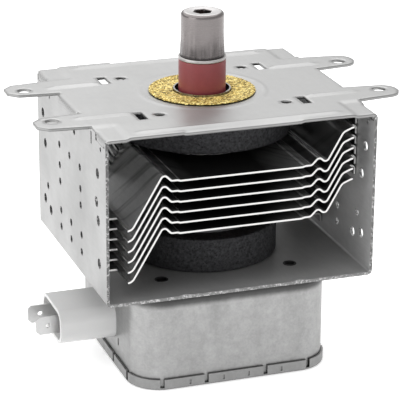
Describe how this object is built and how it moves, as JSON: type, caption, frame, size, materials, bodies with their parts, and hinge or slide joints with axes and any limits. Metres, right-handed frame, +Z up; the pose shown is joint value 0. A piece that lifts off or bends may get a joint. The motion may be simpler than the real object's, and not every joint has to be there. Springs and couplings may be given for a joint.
{
  "type": "microwave oven magnetron",
  "caption": "Magnetron that makes microwaves: ring magnets and a finned anode in a steel yoke, with an antenna, a mounting plate with ears and a shielded filter box with two blade terminals.",
  "frame": {"origin": "bottom centre of the part, on the antenna axis, at the underside of the filter box lid", "axes": "+Z up along the antenna axis, -Y towards the open front of the air duct, -X towards the blade terminals"},
  "size_m": [0.1272, 0.083, 0.1196],
  "materials": {
    "zinc_plated_steel": "satin zinc plate",
    "box_steel": "satin zinc plate, faint forming marks",
    "fin_aluminium": "mill finish",
    "magnet_ferrite": "matte, fine grain",
    "anode_copper": "plain copper",
    "pole_iron": "plated",
    "sleeve_steel": "bright plated",
    "cap_nickel": "satin nickel",
    "pink_alumina": "glazed, rose",
    "white_alumina": "plain ceramic",
    "gasket_mesh": "knitted wire mesh",
    "terminal_plastic": "milky white, smooth",
    "terminal_metal": "tinned",
    "cathode_metal": "plain",
    "choke_copper": "enamelled wire",
    "choke_ferrite": "matte"
  },
  "bodies": {
    "root": {"yoke": "zinc_plated_steel", "top_plate": "zinc_plated_steel", "filter_box": "box_steel", "filter_lid": "box_steel", "upper_magnet": "magnet_ferrite", "lower_magnet": "magnet_ferrite", "anode_shell": "anode_copper", "anode_vanes": "anode_copper", "upper_strap_rings": "anode_copper", "lower_strap_rings": "anode_copper", "upper_pole_piece": "pole_iron", "lower_pole_piece": "pole_iron", "cathode_filament": "cathode_metal", "upper_end_hat": "cathode_metal", "lower_end_hat": "cathode_metal", "centre_cathode_lead": "cathode_metal", "side_cathode_lead": "cathode_metal", "stem_sleeve": "sleeve_steel", "stem_insulator": "white_alumina", "antenna_sleeve": "sleeve_steel", "antenna_insulator": "pink_alumina", "antenna_seal_ring": "sleeve_steel", "antenna_cap": "cap_nickel", "antenna_lead": "anode_copper", "exhaust_tube": "anode_copper", "rf_gasket": "gasket_mesh", "capacitor_housing": "terminal_plastic", "blade_terminal_1": "terminal_metal", "blade_terminal_2": "terminal_metal", "choke_coil_1": "choke_copper", "choke_coil_2": "choke_copper", "choke_core_1": "choke_ferrite", "choke_core_2": "choke_ferrite", "cooling_fin_1": "fin_aluminium", "cooling_fin_2": "fin_aluminium", "cooling_fin_3": "fin_aluminium", "cooling_fin_4": "fin_aluminium", "cooling_fin_5": "fin_aluminium", "cooling_fin_6": "fin_aluminium"}
  },
  "joints": []
}
